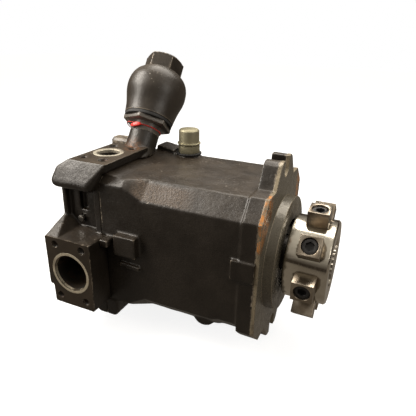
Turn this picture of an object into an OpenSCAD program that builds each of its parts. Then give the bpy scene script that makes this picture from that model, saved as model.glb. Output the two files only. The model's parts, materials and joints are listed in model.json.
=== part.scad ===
// Axial piston pump of the swash-plate kind, with a side suction port, a top
// pressure port, a pulsation damper and a jaw coupling hub on its shaft.
// The origin is the centre of the mounting pilot at the flange face, +X points
// out along the shaft, +Z is up and the suction port looks along -Y.

/* [Housing] */
// Half width of the cast housing
housing_half_y = 90.2; // [90:0.1:94]
// Half height of the cast housing
housing_half_z = 94.7; // [94:0.1:98]
// Size of the four long corner chamfers
corner_cut = 22.7; // [20:0.1:24]
// Distance from the flange face back to the cover joint
joint_back = 218; // [216:0.5:220]
// Thickness of the mounting flange
flange_thick = 23.8; // [20:0.1:26]
// Diameter of the mounting pilot
pilot_d = 152.4; // [152.4:0.1:153]
// Height of the mounting pilot
pilot_h = 12.7; // [12:0.1:13.5]
// Distance between the two mounting bolts
ear_spacing = 228.6; // [228:0.1:230]
// Width of each open mounting slot
ear_slot_w = 20.6; // [18:0.1:21]

/* [Ports] */
// Bore of the suction port
suction_d = 51; // [48:0.5:52]
// Bolt spacing of the suction port along the shaft
suction_bolt_x = 42.9; // [42.9]
// Bolt spacing of the suction port upwards
suction_bolt_z = 77.8; // [77.8]
// Bore of the pressure port
pressure_d = 32; // [28:0.5:33]
// Bolt spacing of the pressure port along the shaft
pressure_bolt_x = 31.8; // [31.8]
// Bolt spacing of the pressure port across the shaft
pressure_bolt_y = 66.7; // [66.7]

/* [Coupling] */
// Diameter of the coupling hub
hub_d = 109.2; // [108:0.1:110]
// Length of the coupling hub
hub_len = 53.5; // [52:0.5:56]
// Number of square drive blocks round the hub
block_count = 8; // [6, 8]
// Distance from the axis to the outer face of each block
block_reach = 74; // [72:0.1:74]
// Width of each block round the hub
block_w = 25; // [22:0.5:25]
// Length of each block along the shaft
block_len = 26; // [24:0.5:27]

/* [Rotating group] */
// Number of pistons
piston_count = 9; // [7, 9]
// Pitch circle radius of the pistons
piston_pitch = 42; // [42:0.1:42.5]
// Outside diameter of each piston
piston_d = 24; // [22:0.1:24]
// Outside diameter of the cylinder block
block_d = 120; // [118:0.5:121]

/* [Damper] */
// Lean of the damper away from the suction side, in degrees
damper_lean = 35.2; // [34:0.1:38]
// Widest diameter of the damper bulb
bulb_d = 90.2; // [88:0.1:92]

/* [Hidden] */
$fn = 96;
eps = 0.01;
run = 0.03;                  // radial running clearance

// colours
paint = [0.27, 0.24, 0.22];
bare_steel = [0.72, 0.70, 0.66];
ground_steel = [0.55, 0.53, 0.49];
black_steel = [0.10, 0.10, 0.10];
bronze = [0.70, 0.52, 0.28];
zinc_yellow = [0.62, 0.60, 0.42];
black_rubber = [0.06, 0.06, 0.06];
seal_red = [0.85, 0.12, 0.10];

// stations along the shaft
joint_x = -joint_back;
gasket_t = 0.8;
cover_x = joint_x - gasket_t;        // inner face of the end cover
cover_back = -283;                   // outer face of the end cover
cover_top = 92.5;                    // half height of the end cover
cavity_front = -34;                  // front wall of the housing cavity
pivot_x = -104;                      // tilt axis of the swash plate
face_off = 23;                       // tilt axis to the running face
square_end = -184;                   // housing is nearly square behind here
waist_x = -48;                       // the underside is higher from here to the flange
body_drop = 92;                      // depth of the underside
rear_top = 98;                       // height of the top at the cover joint
lug_y = [-92, -56];                  // near and far face of the joint lugs
chamfer_start = -158;                // full corner chamfers in front of here
hub_back = 18;
block_turn = 7;                      // turn of the drive blocks round the hub
hub_front = hub_back + hub_len;
shaft_end = hub_front + 1;

// ports
suction_c = [-245.8, -127.9, -33];
pressure_c = [-239.2, -38.1, 111.8];

// cover bolts
cover_bolt_y = 68;
cover_bolt_z = 78.5;

// control and bias pistons
servo_y = 54;
servo_z = 52;
servo_r = 10;
sleeve_r = 12.8;

// bleed screw in the recess of the near side
bleed_x = -257;
bleed_z = 28;

// damper axis
damper_foot = [-230, 25, 102];
neck_r = 22;

// ---- helpers -------------------------------------------------------------

// cylinder along X between two stations
module x_cyl(r, x0, x1, y = 0, z = 0)
    translate([x0, y, z]) rotate([0, 90, 0]) cylinder(r = r, h = x1 - x0);

// cylinder along Y
module y_cyl(r, y0, y1, x = 0, z = 0)
    translate([x, y0, z]) rotate([-90, 0, 0]) cylinder(r = r, h = y1 - y0);

// cylinder along Z
module z_cyl(r, z0, z1, x = 0, y = 0)
    translate([x, y, z0]) cylinder(r = r, h = z1 - z0);

// ring along X
module x_ring(r_out, r_in, x0, x1)
    difference() {
        x_cyl(r_out, x0, x1);
        x_cyl(r_in, x0 - 1, x1 + 1);
    }

// outline in the YZ plane extruded between two stations
module yz_prism(x0, x1)
    translate([x0, 0, 0]) rotate([90, 0, 90]) linear_extrude(x1 - x0) children();

// profile of [radius, x] points turned about the shaft axis
module x_turned() rotate([0, 90, 0]) rotate_extrude() children();

// box from two corners
module box(a, b) translate(a) cube(b - a);

// rectangle with cut corners; its bottom may be higher than its top is high
function cut_rect(hy, hz, cy, cz, drop = undef) =
    let (lo = is_undef(drop) ? hz : drop) [
        [-hy + cy, -lo], [hy - cy, -lo], [hy, -lo + cz], [hy, hz - cz],
        [hy - cy, hz], [-hy + cy, hz], [-hy, hz - cz], [-hy, -lo + cz]
    ];

// children repeated round the shaft axis
module round_x(n, start = 0)
    for (i = [0 : n - 1]) rotate([start + i * 360 / n, 0, 0]) children();

// frame of the damper: children are drawn along +Z from the damper's foot
module on_damper() translate(damper_foot) rotate([-damper_lean, -1.1, 0]) children();

// hexagonal prism along Z, given across its flats
module hex(af, h, turn = 0) rotate([0, 0, turn]) cylinder(r = af / sqrt(3), h = h, $fn = 6);

// children repeated at the four cover bolts
module at_cover_bolts()
    for (y = [-cover_bolt_y, cover_bolt_y], z = [-cover_bolt_z, cover_bolt_z])
        translate([0, y, z]) children();

// ---- castings ------------------------------------------------------------

module body_outline(drop) polygon(cut_rect(housing_half_y, housing_half_z, corner_cut, corner_cut, drop));

module rear_outline() polygon(cut_rect(housing_half_y, housing_half_z, 10, 8, 93));

module housing_outside() {
    yz_prism(joint_x, square_end - 0.5) rear_outline();
    hull() {
        yz_prism(square_end - 1, square_end) rear_outline();
        yz_prism(chamfer_start, chamfer_start + 1) body_outline(body_drop);
    }
    yz_prism(chamfer_start, waist_x - 10) body_outline(body_drop);
    hull() {
        yz_prism(waist_x - 11, waist_x - 10) body_outline(body_drop);
        yz_prism(waist_x - 1, waist_x) body_outline(body_drop - 3.5);
    }
    yz_prism(waist_x - 1, -flange_thick + 1) body_outline(body_drop - 3.5);
    // the top rises a little towards the cover joint
    hull() {
        box([joint_x, -80, 90], [joint_x + 1, 56, rear_top]);
        box([-193, -80, 90], [-192, 56, housing_half_z]);
    }
    hull() {
        box([joint_x, 56, 90], [-212, 86, 104]);
        box([joint_x, 56, 90], [-189, 86, 99.5]);
    }
}

// mounting flange with two open-ended ears
module flange_outside() {
    ear = ear_spacing / 2;
    yz_prism(-flange_thick, 0) {
        polygon(cut_rect(housing_half_y + 2.3, housing_half_z + 2.2, 23, 23));
        for (s = [-1, 1])
            polygon([[-44, s * 94], [-26, s * (ear + 8)], [-19, s * (ear + 12)],
                [19, s * (ear + 14.4)], [26, s * (ear + 10)], [45, s * 94]]);
    }
}

// the underside flares out to the flange
module underside_flare() translate([0, 66, 0]) rotate([90, 0, 0]) linear_extrude(132)
    polygon([[-42, -86], [-42, -88.4], [-35, -89.3], [-30, -91.4], [-26, -94.6], [-21, -96.9], [-21, -86]]);

module side_pads() {
    box([-34, -95, -1], [-5, -88, 25]);
    box([-193, -102, -5], [-161, -88, 24]);
    box([-211.4, -107, 6.5], [-199, -88, 15.6]);
    translate([-175, -88, -22]) rotate([0, 4, 0]) box([-15, -7, -3], [15, 1, 3]);
}

module drain_boss() z_cyl(17.5, 90, 97.5, -165, 60);

// lug and boss under the body
module underside_lugs() {
    hull() {
        y_cyl(8, lug_y[0], lug_y[1], -209, -104);
        box([joint_x, lug_y[0], -112], [joint_x + 5, lug_y[1], -86]);
        box([joint_x, lug_y[0], -96], [-200.5, lug_y[1], -86]);
    }
    y_cyl(16, -72, -40, -76, -82);
}

module housing_cavity() {
    yz_prism(joint_x - 1, cavity_front) polygon(cut_rect(78, 82, 26, 26));
    x_cyl(42.5, cavity_front - 1, -9);
    x_cyl(36, -10, 3.5);
    x_cyl(46, 3, 40);
}

module main_housing() color(paint) difference() {
    union() {
        housing_outside();
        flange_outside();
        underside_flare();
        x_cyl(pilot_d / 2, -1, pilot_h);
        side_pads();
        drain_boss();
        underside_lugs();
    }
    housing_cavity();
    for (s = [-1, 1]) {
        x_cyl(ear_slot_w / 2, -30, 5, 0, s * ear_spacing / 2);
        mirror([0, 0, s > 0 ? 0 : 1])
            box([-30, -ear_slot_w / 2, ear_spacing / 2], [5, ear_slot_w / 2, 140]);
    }
    z_cyl(10.5, 70, 110, -165, 60);
    at_cover_bolts() x_cyl(6.1, joint_x - 1, -190);
    for (i = [0 : 3]) rotate([45 + 90 * i, 0, 0]) x_cyl(2.6, -6, 4, 0, 41);
}

module port_holes(r, count_x, count_y, depth)
    for (x = [-count_x / 2, count_x / 2], y = [-count_y / 2, count_y / 2])
        translate([x, y, -depth]) cylinder(r = r, h = depth + 1);

// block of the pressure port, with a rounded lip over the recess below it
module pressure_block() hull() {
    box([-265.5, -89, pressure_c[2] - 1], [-207.5, 12, pressure_c[2]]);
    for (c = [[-277, -97, 84], [-228, -97, 84], [-275.5, -90, 95]])
        translate(c) sphere(r = 9, $fn = 32);
    box([cover_back, -60, 84], [cover_x, 24, rear_top]);
}

module suction_block() {
    box([cover_back, suction_c[1], -57.5], [-211.5, -91, 15.5]);
    box([-277, suction_c[1], -84], [-211.5, -91, -57]);
    box([cover_back, -91.5, -84], [cover_x, -78, 15.5]);
    hull() {
        box([cover_back, -127, 14.5], [-262, -78, 15.5]);
        box([cover_back, -88.5, 31], [-279, -78, 32]);
    }
}

module end_cover() color(paint) difference() {
    union() {
        yz_prism(cover_back, cover_x) polygon(cut_rect(80, cover_top, 6, 6));
        yz_prism(cover_x - 9.5, cover_x) rear_outline();
        box([cover_back, -88.5, 30], [-276.5, -78, 80]);
        pressure_block();
        suction_block();
        on_damper() {
            translate([0, 0, -30]) cylinder(r = neck_r, h = 56);
            translate([0, 0, -22]) cylinder(r1 = 30, r2 = neck_r, h = 26);
        }
        hull() {
            y_cyl(9, lug_y[0], lug_y[1], -229, -103);
            box([cover_x - 5, lug_y[0], -112], [cover_x, lug_y[1], -86]);
            box([-240, lug_y[0], -94], [cover_x, lug_y[1], -86]);
        }
    }
    // the blocks overhang the main housing with a small gap
    box([cover_x, -90.95, -130], [-150, 130, rear_top + 0.6]);
    // slot in the recess of the near side
    box([-260, -95, 40], [-248, -73, 66]);
    // suction passage
    y_cyl(suction_d / 2, suction_c[1] - 1, suction_c[1] + 60, suction_c[0], suction_c[2]);
    y_cyl(23, suction_c[1] + 59, -32, suction_c[0], suction_c[2]);
    x_cyl(8.5, suction_c[0], cover_x + 1, -42, -22);
    // pressure passage
    z_cyl(pressure_d / 2, pressure_c[2] - 48, pressure_c[2] + 1, pressure_c[0], pressure_c[1]);
    z_cyl(14, 24, pressure_c[2] - 47, pressure_c[0], pressure_c[1]);
    y_cyl(9, pressure_c[1], 57, -252, 30);
    x_cyl(8.5, -254, cover_x + 1, 42, 22);
    // damper passage
    on_damper() translate([0, 0, -8]) cylinder(r = 9, h = 40);
    // rear bearing seat
    x_cyl(31, -240, cover_x + 1);
    // threaded holes of the two ports
    translate(suction_c) rotate([90, 0, 0]) port_holes(5.25, suction_bolt_x, suction_bolt_z, 28);
    translate(pressure_c) port_holes(6.1, pressure_bolt_x, pressure_bolt_y, 12);
    // holes and counterbores of the cover bolts
    at_cover_bolts() {
        x_cyl(6.8, cover_back - 1, cover_x + 1);
        x_cyl(11, cover_back - 1, cover_back + 14);
    }
    // regulator screws and oil way, bleed screw and rear plug
    at_regulator_screws() z_cyl(2.6, 87, cover_top + 1);
    z_cyl(2, 30, cover_top + 1, reg_way[0], reg_way[1]);
    x_cyl(2, reg_way[0], -255, reg_way[1], 32);
    y_cyl(4, -92, -62, bleed_x, bleed_z);
    x_cyl(12, cover_back - 1, -262, 20, -48);
}

module cover_gasket() color(black_rubber) difference() {
    yz_prism(cover_x + eps, joint_x - eps) polygon(cut_rect(89.6, 93, 9.6, 8));
    yz_prism(cover_x - 1, joint_x + 1) polygon(cut_rect(78, 82, 26, 26));
    at_cover_bolts() x_cyl(6.8, cover_x - 1, joint_x + 1);
}

// socket head screw along +X from the head's underside; head is on the -X side
module socket_screw(r, len, head_r, head_h, key) difference() {
    union() {
        x_cyl(r, -eps, len);
        x_cyl(head_r, -head_h, 0);
    }
    translate([-head_h - 1, 0, 0]) rotate([0, 90, 0]) hex(key, head_h / 2 + 1);
}

module cover_bolts() color(black_steel)
    at_cover_bolts() translate([cover_back + 14, 0, 0]) socket_screw(6, 76, 9, 12, 10);

// ---- shaft and coupling --------------------------------------------------

spline_teeth = 21;

module spline(r_root, r_tip, x0, x1)
    yz_prism(x0, x1) polygon([
        for (i = [0 : spline_teeth - 1], k = [0 : 3])
            let (a = (i + [0, 0.3, 0.5, 0.8][k]) * 360 / spline_teeth,
                r = k == 0 || k == 3 ? r_root : r_tip)
            [r * cos(a), r * sin(a)]
    ]);

module drive_shaft() color(ground_steel) {
    difference() {
        union() {
            x_cyl(17.48, -239, -211);
            x_cyl(19, -212, -60);
            x_cyl(22, -61, -38);
            x_cyl(26, -39, -33.55);
            x_cyl(22.48, -34, 17);
            x_cyl(20.2, 16, shaft_end);
        }
        x_cyl(4.5, 55, shaft_end + 1);
        translate([shaft_end, 0, 0]) rotate([0, -90, 0]) cylinder(r1 = 8, r2 = 4.5, h = 5);
    }
    spline(18.9, 20.4, -209, -178);
    spline(20, 22, 17, shaft_end);
}

module hub_pocket_holes() round_x(block_count, block_turn) {
    box([hub_back + 16.4, -100, -block_w / 2 - 0.05], [hub_back + 16.6 + block_len, -50, block_w / 2 + 0.05]);
    y_cyl(6.05, -56, -29, hub_back + 16.5 + block_len / 2);
}

module coupling_hub() color(bare_steel) difference() {
    x_turned() polygon([
        [22.1, hub_back], [hub_d / 2 - 1.5, hub_back], [hub_d / 2, hub_back + 1.5],
        [hub_d / 2, hub_front - 2], [hub_d / 2 - 2, hub_front], [32, hub_front],
        [31, hub_front - 3], [22.1, hub_front - 3]
    ]);
    hub_pocket_holes();
}

// the block at the bottom of the count faces -Y
module hub_blocks() color(ground_steel) round_x(block_count, block_turn) difference() {
    box([hub_back + 16.5, -block_reach, -block_w / 2],
        [hub_back + 16.5 + block_len, -50 - eps, block_w / 2]);
    y_cyl(6.6, -block_reach - 1, -40, hub_back + 16.5 + block_len / 2);
    y_cyl(10, -block_reach - 1, -block_reach + 14, hub_back + 16.5 + block_len / 2);
}

module hub_block_screws() color(black_steel) round_x(block_count, block_turn)
    translate([hub_back + 16.5 + block_len / 2, -block_reach + 14, 0])
        rotate([0, 0, 90]) socket_screw(6, 28, 9, 12, 10);

// ---- shaft seal and bearings ---------------------------------------------

module shaft_seal() color(black_rubber) x_turned() polygon([
    [35.95, -8.5], [35.95, 1.5], [33, 1.5], [33, -5.5], [27, -5.5], [24.5, 0.5],
    [22.55, -1.2], [23.4, -6.5], [26, -8.5]
]);

module seal_retainer() color(bare_steel) difference() {
    x_ring(45.8, 24.5, 3.02, 7);
    for (i = [0 : 3]) rotate([45 + 90 * i, 0, 0]) x_cyl(2.8, 0, 10, 0, 41);
}

module retainer_screws() color(black_steel)
    for (i = [0 : 3]) rotate([45 + 90 * i, 0, 0])
        translate([7, 0, 41]) mirror([1, 0, 0]) socket_screw(2.5, 12, 4.2, 3.4, 3);

// roller bearing parts: radii of the rings and of the roller circle
module bearing_outer(r_out, r_race, x0, x1) color(bare_steel) x_turned() polygon([
    [r_out, x0], [r_out, x1], [r_race - 1.6, x1], [r_race - 1.6, x1 - 2.6],
    [r_race, x1 - 2.6], [r_race, x0 + 2.6], [r_race - 1.6, x0 + 2.6], [r_race - 1.6, x0]
]);

module bearing_rollers(n, r_pitch, r_roll, x0, x1) color(bare_steel)
    round_x(n) x_cyl(r_roll, x0, x1, 0, r_pitch);

module bearing_cage(n, r_pitch, r_roll, half_t, x0, x1, roll0, roll1) color(bronze)
    difference() {
        x_ring(r_pitch + half_t, r_pitch - half_t, x0, x1);
        round_x(n) x_cyl(r_roll + 0.1, roll0 - 0.1, roll1 + 0.1, 0, r_pitch);
    }

front_n = 15;
front_pitch = 32.45;
front_roll = 4.97;
rear_n = 14;
rear_pitch = 24;
rear_roll = 3.47;

module front_bearing_outer() bearing_outer(42.42, 37.45, -33.5, -9.5);
module front_bearing_inner() color(bare_steel) x_ring(27.45, 22.5, -33.5, -9.5);
module front_bearing_rollers() bearing_rollers(front_n, front_pitch, front_roll, -30.4, -12.6);
module front_bearing_cage() bearing_cage(front_n, front_pitch, front_roll, 1.6, -32.5, -10.5, -30.4, -12.6);
module rear_bearing_outer() bearing_outer(30.97, 27.5, -238.5, -220.5);
module rear_bearing_inner() color(bare_steel) x_ring(20.5, 17.5, -238.5, -220.5);
module rear_bearing_rollers() bearing_rollers(rear_n, rear_pitch, rear_roll, -235.8, -223.2);
module rear_bearing_cage() bearing_cage(rear_n, rear_pitch, rear_roll, 1.2, -237.5, -221.5, -235.8, -223.2);

// ---- rotating group ------------------------------------------------------

block_back = -211;
block_front = -126;
mouth_x = pivot_x - 3.5;

module cylinder_block() color(ground_steel) difference() {
    x_cyl(block_d / 2, block_back, block_front);
    x_cyl(20.45, block_back - 1, -170);
    x_cyl(26.5, -176, block_front + 1);
    round_x(piston_count) {
        x_cyl(piston_d / 2 + run, block_back + 13, block_front + 1, 0, piston_pitch);
        x_cyl(5.5, block_back - 1, block_back + 14, 0, piston_pitch);
    }
}

module pistons() color(bare_steel) round_x(piston_count) difference() {
    x_cyl(piston_d / 2, -186, mouth_x, 0, piston_pitch);
    x_cyl(piston_d / 2 - 3, -174, mouth_x + 1, 0, piston_pitch);
    x_cyl(2.5, -187, -173, 0, piston_pitch);
}

module disc_springs() color(black_steel)
    for (i = [0 : 5]) translate([-175.9 + i * 4.2, 0, 0])
        mirror([i % 2, 0, 0]) translate([i % 2 ? -4 : 0, 0, 0])
            x_turned() polygon([[20.6, 0], [25.8, 1.8], [25.8, 3.8], [20.6, 2]]);

// its front end is a ball zone centred on the tilt axis
module ball_guide() color(bare_steel) x_turned() polygon(concat(
    [[19.4, -150], [26.2, -150], [26.2, pivot_x + 5]],
    [for (t = [9 : 4 : 37]) [30 * cos(t), pivot_x + 30 * sin(t)]],
    [[19.4, pivot_x + 18.05]]
));

// points on an arc, without its two ends when open = 1
function arc(r, a0, a1, n, c = [0, 0], open = 0) = [
    for (i = [open : n - open])
        let (a = a0 + (a1 - a0) * i / n) c + r * [cos(a), sin(a)]
];

// kidney slot outline round the piston pitch circle
module kidney(half_a, half_w) polygon(concat(
    arc(piston_pitch + half_w, -half_a, half_a, 20),
    arc(half_w, half_a, half_a + 180, 8, piston_pitch * [cos(half_a), sin(half_a)], 1),
    arc(piston_pitch - half_w, half_a, -half_a, 20),
    arc(half_w, 180 - half_a, 360 - half_a, 8, piston_pitch * [cos(half_a), -sin(half_a)], 1)
));

module valve_plate() color(bronze) difference() {
    x_ring(block_d / 2, 33, cover_x + eps, block_back - 0.02);
    for (turn = [0, 180]) yz_prism(cover_x - 1, block_back + 1) rotate(turn) kidney(52, 4.6);
}

module slippers() color(bronze) round_x(piston_count)
    translate([pivot_x, 0, piston_pitch]) {
        x_turned() polygon([
            [0, 1], [3.5, 1], [3.5, 8], [7, 11], [7, 17], [13, 17],
            [13, face_off - 0.05], [0, face_off - 0.05]
        ]);
        sphere(r = 7);
    }

module retainer_plate() color(ground_steel) difference() {
    x_cyl(54, pivot_x + 13, pivot_x + 16.95);
    translate([pivot_x, 0, 0]) sphere(r = 30.2);
    round_x(piston_count) x_cyl(7.3, pivot_x + 12, pivot_x + 18, 0, piston_pitch);
}

// lug of the swash plate that a servo piston pushes on
module swash_lug(s) {
    x_cyl(12, pivot_x + face_off, pivot_x + 35, s * servo_y, s * servo_z);
    yz_prism(pivot_x + face_off, pivot_x + 33)
        polygon([[s * 12, s * 56], [s * 49, s * 63], [s * 65, s * 47], [s * 57, s * 12]]);
}

module swash_plate() color(ground_steel) difference() {
    union() {
        x_cyl(58, pivot_x + face_off, pivot_x + 31);
        intersection() {
            for (s = [-1, 1]) y_cyl(60, s * 39 - 13, s * 39 + 13, pivot_x, 0);
            box([pivot_x + face_off, -60, -60], [pivot_x + 61, 60, 60]);
        }
        swash_lug(1);
        swash_lug(-1);
    }
    translate([pivot_x + face_off - 1, 0, 0]) rotate([0, 90, 0]) cylinder(r1 = 27, r2 = 36, h = 40);
}

module cradle_seat() color(paint) difference() {
    box([pivot_x + 40, -56, -38], [cavity_front - 0.05, 56, 38]);
    y_cyl(63, -60, 60, pivot_x, 0);
    x_cyl(34, pivot_x + 30, cavity_front + 1);
}

module cradle_liners() color(bronze) for (s = [-1, 1]) intersection() {
    difference() {
        y_cyl(62.97, s * 39 - 11, s * 39 + 11, pivot_x, 0);
        y_cyl(60.08, s * 39 - 12, s * 39 + 12, pivot_x, 0);
    }
    box([pivot_x + 51, -60, -40], [pivot_x + 64, 60, 40]);
}

// ---- stroke control ------------------------------------------------------

module servo_sleeve(s, x_end) color(ground_steel) difference() {
    x_cyl(sleeve_r, cover_x + 0.02, x_end, s * servo_y, s * servo_z);
    x_cyl(servo_r + run, cover_x + 6, x_end + 1, s * servo_y, s * servo_z);
    x_cyl(3, cover_x - 1, cover_x + 7, s * servo_y, s * servo_z);
}

module servo_piston(s, x_back) color(bare_steel) {
    tip = pivot_x + face_off - servo_r - 0.1;
    translate([0, s * servo_y, s * servo_z]) {
        x_cyl(servo_r, x_back, tip);
        translate([tip, 0, 0]) sphere(r = servo_r);
    }
}

module control_cylinder() servo_sleeve(1, -112);
module control_piston() servo_piston(1, -176);
module bias_cylinder() servo_sleeve(-1, -112);
module bias_piston() servo_piston(-1, -172);
module bias_spring() color(black_steel) translate([0, -servo_y, -servo_z])
    x_ring(8, 5.5, cover_x + 6.1, -172.1);

// ---- pressure regulator --------------------------------------------------

reg_x = -291;                        // spool axis
reg_z = 100.6;
reg_near = 50;                       // near and far face of the regulator block
reg_far = 72;
reg_base = cover_top + 0.8;
reg_top = 108;
reg_seat = reg_top - 5.2;            // seats of its screws
reg_way = [-277, 54];                // oil way from the cover
spool_bore = 4;

module at_regulator_screws()
    for (x = [-266, -253], y = [56.5, 66]) translate([x, y, 0]) children();

module regulator_housing() color(paint) difference() {
    hull() {
        translate([-294, reg_near + 9, 0]) {
            z_cyl(9, reg_base, reg_top - 4, $fn = 32);
            z_cyl(6, reg_base, reg_top, $fn = 32);
        }
        box([-264, reg_near, reg_base], [-254, reg_far, reg_top - 4]);
        box([-264, reg_near + 3, reg_base], [-254, reg_far, reg_top]);
        box([-264, 58, reg_base], [-240, reg_far, reg_top]);
        box([-303, 66, reg_base], [-290, reg_far, reg_top - 4]);
        box([-300, 66, reg_base], [-290, reg_far, reg_top]);
    }
    y_cyl(spool_bore, reg_near + 3, reg_far + 1, reg_x, reg_z);
    at_regulator_screws() {
        z_cyl(2.9, 90, 120);
        z_cyl(4.4, reg_seat, 120);
    }
    z_cyl(2, 90, reg_z, reg_way[0], reg_way[1]);
    x_cyl(2, reg_x, reg_way[0], reg_way[1] + 1, reg_z - 1);
}

module regulator_gasket() color(black_rubber) difference() {
    translate([0, 0, cover_top + 0.02]) linear_extrude(0.76)
        polygon([[cover_back + 1, 50.5], [-254.5, 50.5], [-241, 58.5], [-241, 71.5], [cover_back + 1, 71.5]]);
    at_regulator_screws() z_cyl(2.9, 90, 120);
    z_cyl(2, 90, 99, reg_way[0], reg_way[1]);
}

module regulator_screws() color(black_steel)
    at_regulator_screws() translate([0, 0, reg_seat]) rotate([0, 90, 0])
        socket_screw(2.5, 15.5, 4.2, 5, 4);

spool_end = 61;
spring_end = reg_far - 0.1;

module regulator_spool() color(bare_steel) translate([reg_x, 0, reg_z]) difference() {
    y_cyl(spool_bore - run, 55, spool_end);
    difference() {
        y_cyl(spool_bore + 1, 57, 59);
        y_cyl(2.4, 56, 60);
    }
}

module regulator_spring() color(black_steel) translate([reg_x, 0, reg_z]) difference() {
    y_cyl(3.4, spool_end + 0.3, spring_end);
    y_cyl(2.2, spool_end, spring_end + 1);
}

cap_end = reg_far + 3;               // outer face of the spring cap

module regulator_bonnet() color(zinc_yellow) translate([reg_x, 0, reg_z]) difference() {
    y_cyl(6.6, reg_far + 0.02, cap_end);
    y_cyl(2.52, reg_far - 1, cap_end + 1);
}

module adjusting_screw() color(bare_steel) translate([reg_x, 0, reg_z]) difference() {
    y_cyl(2.5, reg_far, cap_end + 5);
    translate([0, cap_end + 3, 0]) rotate([-90, 0, 0]) hex(2.5, 3);
}

module lock_nut() color(zinc_yellow) translate([reg_x, cap_end + 0.02, reg_z])
    rotate([-90, 0, 0]) difference() {
        hex(9, 3);
        translate([0, 0, -1]) cylinder(r = 2.52, h = 6);
    }

// ---- pulsation damper ----------------------------------------------------

adapter_z = [26.02, 39.3, 45.2, 50.4];   // foot, hexagon, collar and its end

module damper_adapter() color(paint) on_damper() difference() {
    union() {
        intersection() {
            translate([0, 0, adapter_z[1]]) hex(63.4, adapter_z[2] - adapter_z[1], 39.7);
            translate([0, 0, adapter_z[1] - 1]) cylinder(r1 = 34.6, r2 = 39, h = 5);
        }
        translate([0, 0, adapter_z[1] + 3]) hex(63.4, adapter_z[2] - adapter_z[1] - 3, 39.7);
        translate([0, 0, adapter_z[0]]) cylinder(r = neck_r, h = 16);
        translate([0, 0, adapter_z[2] - 1]) cylinder(r = 31, h = adapter_z[3] - adapter_z[2] + 1);
        translate([0, 0, adapter_z[3] - 1]) cylinder(r = 26, h = 11);
    }
    translate([0, 0, 20]) cylinder(r = 9, h = 50);
}

module damper_ring() color(black_rubber) on_damper() translate([0, 0, adapter_z[2] + 0.05]) difference() {
    cylinder(r = 36.3, h = adapter_z[3] - adapter_z[2] - 0.1);
    translate([0, 0, -1]) cylinder(r = 31.02, h = 8);
}

// bulb: a turned pear with a hexagon on top
bulb_side = [
    [37.2, 50.5], [37.8, 56], [38.8, 63], [40, 69], [42, 77], [44, 85], [bulb_d / 2, 93],
    [bulb_d / 2, 99], [44.2, 106], [42.3, 112], [39.5, 117], [36, 121], [32, 124.5], [28, 127],
    [24, 128.3]
];
bulb_head = [126, 150.3];            // foot and top of its hexagon

module damper_bulb() color(paint) on_damper() difference() {
    union() {
        rotate_extrude() polygon(concat([[0, 50.5]], bulb_side, [[0, 128.3]]));
        translate([0, 0, bulb_head[0]]) hex(51.5, bulb_head[1] - bulb_head[0], 20.1);
    }
    rotate_extrude() polygon([[0, 50], [26.03, 50], [26.03, 62], [34, 76], [37, 96], [32, 110], [20, 117], [0, 119]]);
}

wire_r = 0.9;

module seal_wire() color(seal_red) on_damper() {
    translate([0, 0, 31]) rotate([2, 3, 0]) rotate_extrude() translate([23.4, 0]) circle(r = wire_r, $fn = 24);
    translate([0, 0, 34.2]) rotate([-1, 4, 0]) rotate_extrude() translate([23.6, 0]) circle(r = wire_r, $fn = 24);
}

module lead_seal() color(seal_red) on_damper()
    rotate([0, 0, -98]) translate([24.6, 0, 32.5]) rotate([0, 90, 0]) cylinder(r = 5.5, h = 3.5);

// ---- case drain ----------------------------------------------------------

drain_x = -165;
drain_y = 60;

module drain_seal_ring() color(black_rubber) translate([drain_x, drain_y, 97.52]) difference() {
    cylinder(r = 19, h = 2.4);
    translate([0, 0, -1]) cylinder(r = 10.6, h = 5);
}

module drain_fitting() color(zinc_yellow) translate([drain_x, drain_y, 0]) difference() {
    union() {
        z_cyl(10.4, 84, 100);
        translate([0, 0, 99.95]) hex(29, 11, 10);
        z_cyl(13.5, 110, 126);
    }
    z_cyl(7, 80, 120);
}

module drain_cap() color(zinc_yellow) translate([drain_x, drain_y, 0]) difference() {
    rotate_extrude() polygon([[0, 112], [16.2, 112], [17.2, 113], [17.2, 114.6], [15.4, 115.2],
        [15.2, 132.5], [13.4, 134.6], [0, 134.6]]);
    z_cyl(13.53, 111, 126.5);
}

module drain_clip() color(black_steel) translate([drain_x - 20.5, drain_y - 4, 100])
    rotate([0, -35, 20]) cube([4.5, 2.6, 1.6]);

module bleed_screw() color(bare_steel) {
    y_cyl(3.97, -82.5, -66, bleed_x, bleed_z);
    translate([bleed_x, -82.49, bleed_z]) rotate([90, 0, 0]) hex(8, 3);
}

module cover_plug() color(zinc_yellow) translate([0, 20, -48]) difference() {
    union() {
        x_cyl(11.97, cover_back - 1, -264);
        x_cyl(15, cover_back - 3, cover_back - eps);
    }
    translate([cover_back - 4, 0, 0]) rotate([0, 90, 0]) hex(12, 9);
}

main_housing();
end_cover();
cover_gasket();
cover_bolts();
drive_shaft();
coupling_hub();
hub_blocks();
hub_block_screws();
shaft_seal();
seal_retainer();
retainer_screws();
front_bearing_outer();
front_bearing_inner();
front_bearing_rollers();
front_bearing_cage();
rear_bearing_outer();
rear_bearing_inner();
rear_bearing_rollers();
rear_bearing_cage();
cylinder_block();
pistons();
disc_springs();
ball_guide();
valve_plate();
slippers();
retainer_plate();
swash_plate();
cradle_seat();
cradle_liners();
control_cylinder();
control_piston();
bias_cylinder();
bias_piston();
bias_spring();
regulator_housing();
regulator_gasket();
regulator_screws();
regulator_spool();
regulator_spring();
regulator_bonnet();
adjusting_screw();
lock_nut();
damper_adapter();
damper_ring();
damper_bulb();
seal_wire();
lead_seal();
drain_seal_ring();
drain_fitting();
drain_cap();
drain_clip();
bleed_screw();
cover_plug();
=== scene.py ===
import json
import math

import bmesh
import bpy
import numpy as np
from mathutils import Matrix, Vector, noise


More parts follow.
